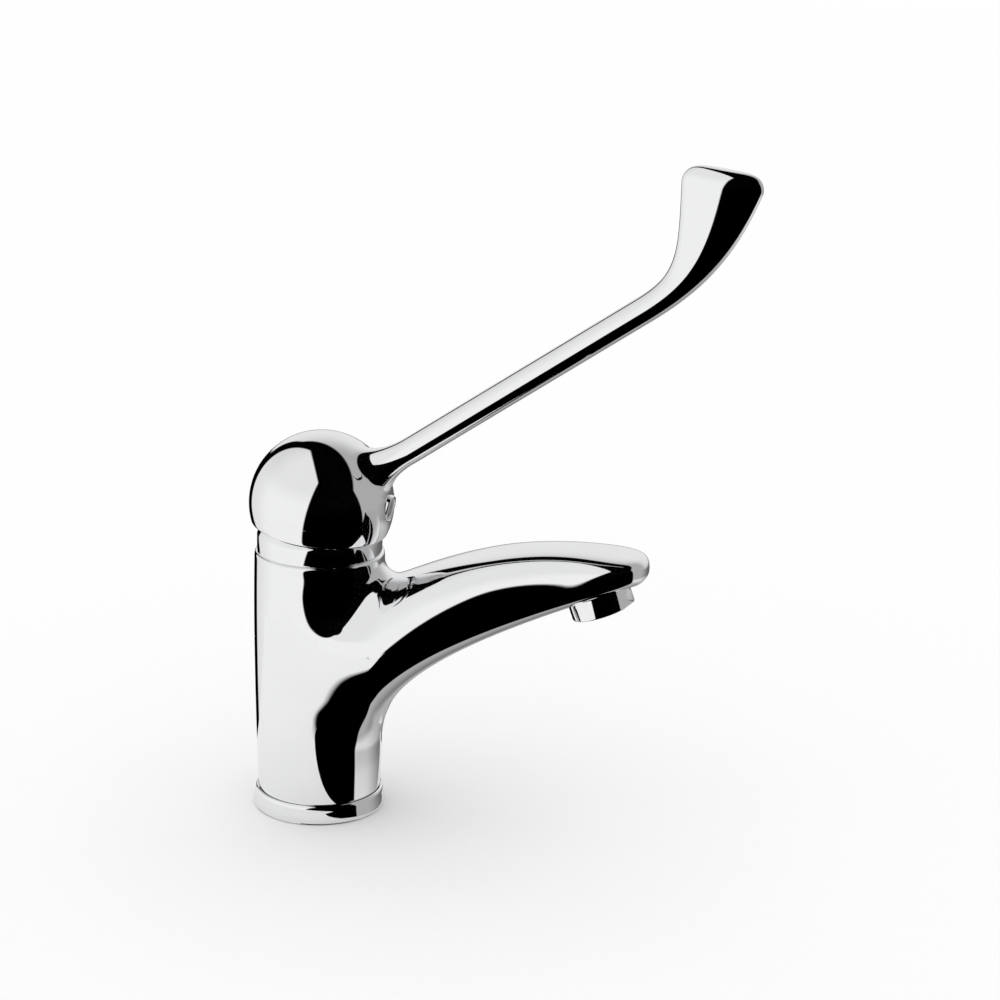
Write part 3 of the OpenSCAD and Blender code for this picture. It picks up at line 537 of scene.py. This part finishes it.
def turned_metal(name, dark, light, roughness, pitch, depth):
    """Machined metal: fine tool rings about the upright axis, and a tone that varies between them."""
    material, tree, shader = new_finish(name)
    place = tree.make("TexCoord", out="Object")
    # Length of one ring at a scale of 1
    wave_length = 0.314
    rings = tree.make(
        "TexWave", {"wave_type": "RINGS", "rings_direction": "Z"},
        {"Vector": place, "Scale": wave_length / pitch, "Distortion": 0.6, "Detail": 2.0}, out="Fac",
    )
    clouds = tree.make("TexNoise", sockets={"Vector": place, "Scale": 220.0, "Detail": 5.0})
    connect(two_tone(tree, 0.7 * clouds + 0.3 * rings, dark, light), shader, "Base Color")
    connect(roughness + 0.12 * rings * clouds, shader, "Roughness")
    bump = tree.make("Bump", sockets={"Strength": 0.4, "Distance": depth, "Height": rings})
    connect(bump, shader, "Normal")
    shader.inputs["Metallic"].default_value = 1.0
    return material


strainer_steel = turned_metal(
    "strainer_steel", dark=(0.58, 0.58, 0.58), light=(0.72, 0.72, 0.71),
    roughness=0.24, pitch=0.0003, depth=0.000008,
)
keep("aerator_strainer", strainer_steel)

# Cartridge
# The ceramic cartridge meters the water: a fixed and a moving disc of lapped alumina in a plastic housing,
# with the rotor, the spindle on its pin, and rubber seals. It is pushed together and stands in the body.

mould_grain = {"spread": 0.2, "grain": 1300.0, "depth": 0.00002}
ivory_plastic = moulded(
    "ivory_plastic", dark=(0.80, 0.77, 0.66), light=(0.89, 0.86, 0.77), roughness=0.34, **mould_grain
)
grey_plastic = moulded(
    "grey_plastic", dark=(0.40, 0.40, 0.41), light=(0.50, 0.50, 0.51), roughness=0.36, **mould_grain
)
red_plastic = moulded(
    "red_plastic", dark=(0.58, 0.055, 0.04), light=(0.71, 0.10, 0.075), roughness=0.34, **mould_grain
)
alumina = moulded(
    "white_alumina", dark=(0.87, 0.86, 0.82), light=(0.93, 0.92, 0.90),
    roughness=0.10, spread=0.12, grain=3000.0, depth=0.000004,
)
brass = turned_metal(
    "turned_brass", dark=(0.64, 0.47, 0.21), light=(0.80, 0.62, 0.33),
    roughness=0.2, pitch=0.0004, depth=0.00001,
)
steel = turned_metal(
    "ground_steel", dark=(0.52, 0.52, 0.53), light=(0.67, 0.67, 0.67),
    roughness=0.22, pitch=0.0002, depth=0.000006,
)
for node, material in (
    ("cartridge_base", ivory_plastic),
    ("port_seals", black_rubber),
    ("fixed_disc", alumina),
    ("moving_disc", alumina),
    ("disc_carrier", grey_plastic),
    ("rotor", grey_plastic),
    ("rotor_seal", black_rubber),
    ("pivot_pin", steel),
    ("spindle", brass),
    ("cartridge_housing", ivory_plastic),
    ("stop_ring", red_plastic),
):
    keep(node, material)

# Cartridge nut
# A nut turned from brass screws into the thread at the top of the body, and holds the cartridge down on
# its seals.

keep("cartridge_nut", brass)

# Collar
# A spun ring of plated brass covers the top of the cartridge. Its crown is round about the lever's pivot,
# so that the dome's rim swings over it, and a spigot holds it in the body.

CROWN_STEPS = 12
pivot_z, crown_r, collar_wall = 101.0, 26.74, 1.2
rim_h, top_h, window_r = 11.0, 17.5, 13.5
spigot_bore_r, spigot_r, spigot_z = 20.1, 21.3, 102.5
crown_outside = [
    (sqrt(crown_r ** 2 - h * h), pivot_z + h)
    for h in (rim_h + (top_h - rim_h) * k / CROWN_STEPS for k in range(CROWN_STEPS + 1))
]
crown_inside = [
    (sqrt((crown_r - collar_wall) ** 2 - h * h), pivot_z + h)
    for h in (rim_h + (top_h - collar_wall - rim_h) * k / CROWN_STEPS for k in range(CROWN_STEPS, -1, -1))
]
collar_profile = (
    [(spigot_bore_r, spigot_z), (spigot_r, spigot_z), (spigot_r, 105.5)]
    + quarter((24.1, 105.8), 0.3, 0.3, -90, 0, 4)
    + crown_outside
    + [(window_r, pivot_z + top_h), (window_r, pivot_z + top_h - collar_wall)]
    + crown_inside
    + [(23.2, 106.7), (spigot_bore_r, 106.7)]
)
collar = turned("collar_ring", collar_profile)
dress(collar, chrome, "tap_body", "collar_cap")

# Collar seal
# A cord of black rubber lies in a groove of the collar's spigot. It grips the collar in the body, so that
# the collar needs no screw.

keep("collar_seal", black_rubber)

# Lever
# Dome, arm and paddle are one zinc die casting, polished and chrome plated. The arm runs out of the dome
# in a hollow rounding, and the paddle at its end is wide enough for an elbow.

LEVER_SIDES = 96
dome_centre, dome_r = Vector((0.8, 0, 124.6)), 28.16
arm_angle = 34.8
along = Vector((cos(radians(arm_angle)), 0, sin(radians(arm_angle))))
upward = Vector((-along.z, 0, along.x))
bpy.ops.object.select_all(action="DESELECT")
bpy.ops.mesh.primitive_uv_sphere_add(
    segments=LEVER_SIDES, ring_count=90, radius=dome_r * mm,
    location=dome_centre * mm, rotation=(0, radians(90 - arm_angle), 0),
)
lever = bpy.context.object
lever.name = "elbow_lever"
bpy.ops.object.transform_apply(location=True, rotation=True, scale=True)
bpy.ops.object.mode_set(mode="EDIT")

# The ball is cut off at its leaning rim, and opened where the arm leaves it
lean, rim_start = radians(6), 9.2
rim_axis = Vector((sin(lean), 0, cos(lean)))
bpy.ops.mesh.select_all(action="SELECT")
bpy.ops.mesh.bisect(
    plane_co=(dome_centre - rim_axis * rim_start) * mm, plane_no=rim_axis, clear_inner=True, clear_outer=False
)
cap = 26.0
bpy.ops.mesh.select_all(action="DESELECT")
ball = bmesh.from_edit_mesh(lever.data)
for point in ball.verts:
    if (point.co - dome_centre * mm).angle(along) < radians(cap - 1):
        point.select_set(True)
bmesh.update_edit_mesh(lever.data)
bpy.ops.mesh.delete(type="VERT")


def cross_ring(s, r, sag=0.0):
    """A round ring square to the arm, at a distance along it from the dome's centre and a little below it."""
    points = []
    for i in range(LEVER_SIDES):
        a = 2 * pi * i / LEVER_SIDES
        spoke = upward * cos(a) + Vector((0, sin(a), 0))
        points.append((dome_centre + along * s - upward * sag + r * spoke) * mm)
    return points


def round_the_arm(edge):
    """Chooses the edges of the opening that the arm leaves by."""
    near = [(v.co - dome_centre * mm).angle(along) < radians(cap + 1) for v in edge.verts]
    return edge.is_boundary and all(near)


bpy.ops.mesh.select_mode(type="EDGE")
select_edges(lever, round_the_arm)
FILLET_STEPS, ARM_STEPS = 12, 8
arm_r, fillet_end, arm_sag, arm_end_s = 5.1, 43.0, 0.59, 151.2
fillet_lead, fillet_tail = 6.0, 8.0
sphere_s, sphere_r = dome_r * cos(radians(cap)), dome_r * sin(radians(cap))
fillet = [
    (sphere_s, sphere_r),
    (sphere_s + fillet_lead * sin(radians(cap)), sphere_r - fillet_lead * cos(radians(cap))),
    (fillet_end - fillet_tail, arm_r),
    (fillet_end, arm_r),
]
ring = cross_ring(sphere_s, sphere_r)
for k in range(1, FILLET_STEPS + 1):
    s, r = bezier(fillet, k / FILLET_STEPS)
    ring = pull_ring(lever, ring, cross_ring(s, r, arm_sag * (k / FILLET_STEPS) ** 2))
for k in range(1, ARM_STEPS + 1):
    s = fillet_end + (arm_end_s - fillet_end) * k / ARM_STEPS
    ring = pull_ring(lever, ring, cross_ring(s, arm_r, arm_sag))

# The paddle, between its back and front edges, and its rounded end
arm_end = Vector((125.26, 210.39))
flat_along, flat_up = Vector((along.x, along.z)), Vector((upward.x, upward.z))
back_corner = arm_end + Vector((11.8, 48.5))
front_corner = back_corner + Vector((29.7, -3.4))
back_start, front_start = arm_end + arm_r * flat_up, arm_end - arm_r * flat_up
back_lead, back_draw = 18, Vector((0, 28))
front_lead, front_draw = 22, Vector((9, 24))
back_edge = [back_start, back_start + back_lead * flat_along, back_corner - back_draw, back_corner]
front_edge = [front_start, front_start + front_lead * flat_along, front_corner - front_draw, front_corner]
paddle_half_t, end_power = 5.3, 1.8
BLADE_STEPS = 30
for k in range(1, BLADE_STEPS + 1):
    t = k / BLADE_STEPS
    half_t, power = arm_r + (paddle_half_t - arm_r) * t, 2 + (end_power - 2) * t
    blade = oval(bezier(back_edge, t), bezier(front_edge, t), half_t, power, power, LEVER_SIDES)
    ring = pull_ring(lever, ring, blade)
end_middle, end_half = (back_corner + front_corner) / 2, (back_corner - front_corner) / 2
end_lean, end_h, face_round, side_round = Vector((0.17, 0.98)), 6.5, 0.4, 0.6
for angle in (10, 20, 30, 40, 50, 58, 66, 73, 79, 84, 88):
    shrink = cos(radians(angle))
    at = end_middle + end_lean * end_h * sin(radians(angle))
    wide, half_t = end_half * shrink ** face_round, paddle_half_t * shrink ** side_round
    ring = pull_ring(lever, ring, oval(at + wide, at - wide, half_t, end_power, end_power, LEVER_SIDES))
bpy.ops.mesh.edge_face_add()

# The rim is rounded, and the dome is hollow up to its bosses
select_edges(lever, lambda e: e.is_boundary)
lip = [
    (rim_start, sqrt(dome_r ** 2 - rim_start ** 2)), (9.5, 26.47), (9.75, 26.2), (9.93, 25.85), (10.0, 25.5),
    (10.0, 25.25), (9.7, 25.3), (8.0, 25.89), (5.0, 26.63), (0.0, 27.1), (-6.0, 26.43), (-12.0, 24.3),
    (-17.0, 21.1), (-21.0, 17.1), (-24.0, 12.6), (-26.0, 7.6), (-27.0, 2.3),
]
for (drop, r), (next_drop, next_r) in zip(lip, lip[1:]):
    bpy.ops.mesh.extrude_region_move(TRANSFORM_OT_translate={"value": rim_axis * (drop - next_drop) * mm})
    share = next_r / r
    bpy.ops.transform.resize(
        value=(share, share, share), center_override=(dome_centre - rim_axis * next_drop) * mm
    )
bpy.ops.mesh.edge_face_add()
bpy.ops.mesh.select_all(action="SELECT")
bpy.ops.mesh.normals_make_consistent(inside=False)
bpy.ops.mesh.select_mode(type="VERT")
bpy.ops.object.mode_set(mode="OBJECT")

# Bosses inside the dome for the stem's square and for the grub screw, and the holes in them. The bosses end
# in the dome's wall, on a ball.
stem_lean, screw_up, screw_to_dome = radians(12.5), 29.6, 23.14
stem = Matrix.Translation((0, 0, pivot_z * mm)) @ Matrix.Rotation(stem_lean, 4, "Y")
screw = stem @ Matrix.Translation((0, 0, screw_up * mm)) @ Matrix.Rotation(radians(90), 4, "Y")
boss_end, boss_ball_r = 50.0, 27.65
for place, r, start in ((stem, 7.0, 12.0), (screw, 6.5, 0.5)):
    boss = turned("boss", [(r, start), (r, boss_end)], sides=64, ring=False)
    boss.data.transform(place)
    bpy.ops.mesh.primitive_uv_sphere_add(
        segments=64, ring_count=48, radius=boss_ball_r * mm, location=dome_centre * mm
    )
    combine(boss, bpy.context.object, "INTERSECT")
    combine(lever, boss, "UNION")
square_w, square_h = 8.2, 33.1
bpy.ops.mesh.primitive_cube_add(size=1)
square = bpy.context.object
square.data.transform(
    stem
    @ Matrix.Translation((0, 0, square_h / 2 * mm))
    @ Matrix.Diagonal((square_w * mm, square_w * mm, square_h * mm, 1))
)
combine(lever, square, "DIFFERENCE")
plug_proud, plug_h, plug_hole_r, screw_hole_r = 0.2, 5.0, 5.2, 2.6
plug_seat = screw_to_dome + plug_proud - plug_h
screw_hole = turned(
    "screw_hole",
    [(screw_hole_r, 0.0), (screw_hole_r, plug_seat), (plug_hole_r, plug_seat), (plug_hole_r, 40.0)],
    sides=64, ring=False,
)
screw_hole.data.transform(screw)
combine(lever, screw_hole, "DIFFERENCE")
dress(lever, chrome, "lever", "lever_handle", smooth_angle=40)

# Grub screw
# A steel set screw with a hexagon socket clamps the lever on the square of the spindle. It is screwed into
# the dome's boss, and the index plug hides it.

keep("grub_screw", steel)

# Index plug
# A turned and plated button is pressed into the dome over the grub screw. Its face is plain and a little
# hollow, with a rounded edge.

plug_r, plug_middle_r = 5.1, 0.5
plug = turned(
    "index_button",
    [(plug_middle_r, 0.0), (4.8, 0.0), (plug_r, 0.3), (plug_r, 4.0)]
    + quarter((4.5, 4.4), 0.6, 0.6, 0, 90, 6)
    + [(3.9, plug_h), (3.6, 4.75), (3.3, 4.7), (plug_middle_r, 4.85)],
    sides=64, ring=False,
)
plug.data.transform(screw @ Matrix.Translation((0, 0, plug_seat * mm)))
dress(plug, chrome, "lever", "index_plug")

# Studio
# A white floor and white surroundings. The plated surfaces see a bright wall on the left, a light one on
# the right and behind, black between and above them, and under the tap a pale sheet of painted reflection.

camera_turn, camera_rise = radians(15.5), radians(16.5)
to_right = Vector((cos(camera_turn), sin(camera_turn), 0))
to_camera = Vector((sin(camera_turn), -cos(camera_turn), 0))
straight_up = Vector((0, 0, 1))

bpy.ops.object.select_all(action="DESELECT")
floor_drop, sheet_drop = 0.0002, 0.0001
bpy.ops.mesh.primitive_plane_add(size=8, location=(0, 0, -floor_drop))
floor = bpy.context.object
floor.name = "studio_floor"
floor.visible_glossy = False
paper, paper_tree, paper_shader = new_finish("white_paper")


def fibres_of(tree):
    """The faint clouds of paper."""
    return tree.make("TexNoise", sockets={"Vector": tree.make("TexCoord", out="Object"), "Scale": 300.0})


paper_tone = two_tone(paper_tree, fibres_of(paper_tree), (0.985, 0.985, 0.985), (1.0, 1.0, 1.0))
connect(paper_tone, paper_shader, "Base Color")
paper_shader.inputs["Roughness"].default_value = 1.0
paper_shader.inputs["Specular IOR Level"].default_value = 0.0
floor.data.materials.append(paper)

world = bpy.data.worlds.new("studio")
bpy.context.scene.world = world
world.use_nodes = True
world.node_tree.nodes.clear()
sky = Shade(world.node_tree)
direction = sky.make("TexCoord", out="Generated")


def part_along(axis):
    """How far a direction points along an axis."""
    return sky.make("VectorMath", {"operation": "DOT_PRODUCT"}, {0: direction, 1: axis}, out="Value")


def side_of(right, front, up, softness=0.03):
    """1 on one side of an edge in the surroundings and 0 on the other, from the edge's normal."""
    normal = right * to_right + front * to_camera + up * straight_up
    over = part_along(normal)
    return sky.make("Math", {"operation": "ADD", "use_clamp": True}, {0: over * (1 / softness), 1: 0.5})


def fade(value, first, last, low, high):
    """A soft step between two levels."""
    return sky.make(
        "MapRange", {"interpolation_type": "SMOOTHSTEP"}, {0: value, 1: first, 2: last, 3: low, 4: high}
    )


facing, height = part_along(to_camera), part_along(straight_up)
left_wall = side_of(-0.953, 0.151, -0.2025) * side_of(-0.866, -0.305, 0.2395) * side_of(-0.766, 0.643, 0.0)
left_level = 0.92 - fade(facing, 0.1, -0.7, 0.0, 0.13) - fade(height, 0.1, 0.6, 0.0, 0.10)
wall_end = side_of(1.0, 0.0, 0.0)
wall_top = side_of(0.658, -0.240, 0.714) * side_of(0.906, -0.423, 0.0)
right_wall = (
    side_of(0.375, -0.927, 0.22)
    * (wall_end + wall_top - wall_end * wall_top)
    * side_of(0.411, -0.472, -0.30)
)
right_level = (
    0.42 + fade(facing, -0.3, -0.95, 0.0, 0.40) * fade(height, -0.2, 0.1, 0.0, 1.0)
    - fade(facing, -0.1, -0.9, 0.0, 0.30) * fade(height, 0.0, -0.2, 0.0, 1.0)
    + fade(height, -0.36, -0.46, 0.0, 0.30) - fade(height, -0.55, -0.75, 0.0, 0.30)
)
glow = sky.make("Clamp", sockets={0: left_level * left_wall + right_level * right_wall})
mirrored = sky.make("LightPath", out="Is Glossy Ray") + sky.make("LightPath", out="Is Transmission Ray")
background = sky.make(
    "Background", sockets={"Color": (1, 1, 1, 1), "Strength": 1 - mirrored + mirrored * glow}
)
output = world.node_tree.nodes.new("ShaderNodeOutputWorld")
world.node_tree.links.new(background.socket, output.inputs["Surface"])

# The sheet under the tap, which the foot and the lower part of the column mirror. It is a painted reflection:
# it is pale only where it is seen at a glancing angle, clear elsewhere, and the camera doesn't see it
# directly.
bpy.ops.object.select_all(action="DESELECT")
bpy.ops.mesh.primitive_plane_add(size=1)
sheet = bpy.context.object
sheet.name = "painted_reflection_sheet"
sheet_corners = [(-250, -60), (53, -60), (-250, 215), (-51, 215)]
for point, (across, front) in zip(sheet.data.vertices, sheet_corners):
    point.co = (to_right * across + to_camera * front) * mm - straight_up * sheet_drop
reflection_material, reflection_tree, reflection_shader = new_finish("painted_reflection_finish")
reflection_tone = two_tone(reflection_tree, fibres_of(reflection_tree), (0.90, 0.90, 0.90), (0.93, 0.93, 0.93))
connect(reflection_tone, reflection_shader, "Base Color")
reflection_shader.inputs["Roughness"].default_value = 1.0
reflection_shader.inputs["Specular IOR Level"].default_value = 0.0
# Painted reflection: a pale diffuse face where the sheet is seen at a glancing angle, and clear elsewhere
glancing = reflection_tree.make("LayerWeight", sockets={"Blend": 0.5}, out="Facing")
painted_sheen = reflection_tree.make("MapRange", sockets={0: glancing, 1: 0.48, 2: 0.53, 3: 0.0, 4: 1.0})
unlit = reflection_tree.make("BsdfTransparent")
lit = Shade(reflection_tree.tree, reflection_shader.outputs[0])
mixed = reflection_tree.make("MixShader", sockets={0: painted_sheen, 1: unlit, 2: lit})
reflection_tree.tree.links.new(mixed.socket, reflection_material.node_tree.nodes["Material Output"].inputs["Surface"])
sheet.data.materials.append(reflection_material)
sheet.visible_camera = sheet.visible_diffuse = sheet.visible_shadow = False

# Camera
# A long lens looks at the tap from a little above, and from a little round to its front. It is tilted by a
# little more than a degree.

camera_distance, aim_right, aim_up = 0.930, 0.0698, 0.127
camera_data = bpy.data.cameras.new("camera")
camera = bpy.data.objects.new("camera", camera_data)
bpy.context.scene.collection.objects.link(camera)
camera_data.lens, camera_data.sensor_width = 86.4, 36.0
roll = radians(1.32)
back = to_camera * cos(camera_rise) + straight_up * sin(camera_rise)
up = back.cross(to_right)
side = to_right * cos(roll) + up * sin(roll)
top = up * cos(roll) - to_right * sin(roll)
aim = to_right * aim_right + Vector((0, 0, aim_up))
axes = Matrix((side, top, back)).transposed().to_4x4()
camera.matrix_world = Matrix.Translation(aim + back * camera_distance) @ axes
bpy.context.scene.camera = camera
bpy.context.scene.view_settings.view_transform = "Standard"
